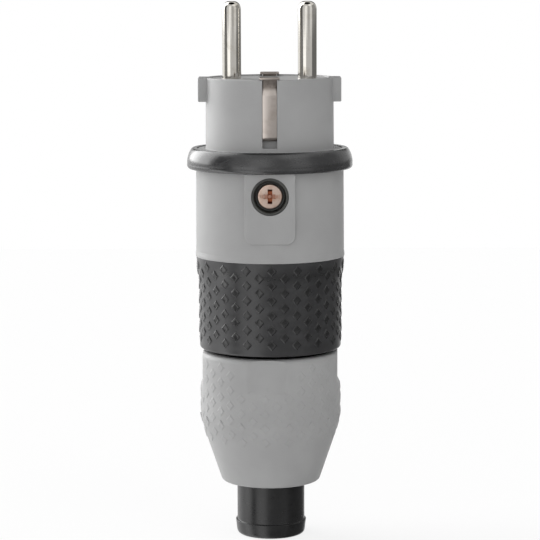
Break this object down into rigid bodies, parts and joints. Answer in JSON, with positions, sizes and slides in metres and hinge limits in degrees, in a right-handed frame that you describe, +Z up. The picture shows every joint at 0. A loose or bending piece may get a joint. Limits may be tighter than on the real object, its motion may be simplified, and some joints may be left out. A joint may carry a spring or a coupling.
{
  "type": "weatherproof power plug",
  "caption": "Round rubber-sealed mains plug with two round pins, side earth springs, grip sleeve, locking screw and a screwed cable gland.",
  "frame": {"origin": "centre of the cable sleeve's foot, on the plug's axis", "axes": "+Z up the plug's axis to the pins, X from one pin to the other, the locking screw on the -Y side"},
  "size_m": [0.042, 0.042, 0.1361],
  "materials": {
    "carrier_grey": "moulded, fine matt grain",
    "housing_grey": "moulded, satin",
    "nut_grey": "moulded, satin",
    "inner_plastic": "moulded",
    "gland_plastic": "moulded",
    "nickel_pin": "turned and nickel plated",
    "contact_brass": "turned",
    "spring_metal": "rolled and nickel plated",
    "inner_screw": "zinc plated",
    "lock_screw": "passivated, coppery",
    "ring_rubber": "smooth moulded",
    "black_rubber": "smooth moulded",
    "grip_rubber": "moulded, matt with diamonds"
  },
  "bodies": {
    "plug": {"contact_carrier": "carrier_grey", "neutral_pin": "nickel_pin", "line_pin": "nickel_pin", "earth_terminal": "contact_brass", "terminal_screws": "inner_screw", "earth_receptacle": "spring_metal", "earth_bar": "contact_brass", "front_earth_spring": "spring_metal", "rear_earth_spring": "spring_metal", "rear_plate": "inner_plastic", "plate_screws": "inner_screw", "seal_ring": "ring_rubber", "housing_shell": "housing_grey", "grip_sleeve": "grip_rubber", "screw_bush": "black_rubber", "lock_screw": "lock_screw", "lock_nut": "inner_screw", "neck_ring": "black_rubber", "clamp_cage": "gland_plastic", "cable_seal": "black_rubber"},
    "sleeve": {"cable_sleeve": "black_rubber", "wedge_ring": "gland_plastic"},
    "nut": {"gland_nut": "nut_grey"}
  },
  "joints": [
    {"name": "gland_travel", "type": "slide", "parent": "plug", "child": "sleeve", "axis": [0, 0, -1], "range_m": [0, 0.008]},
    {"name": "gland_turn", "type": "hinge", "parent": "sleeve", "child": "nut", "pos_m": [0, 0, 0.03], "axis": [0, 0, -1], "range_deg": [0, 1440]}
  ],
  "couplings": [
    {"joint": "gland_travel", "follows": "gland_turn", "m_per_rad": 0.00031831}
  ]
}
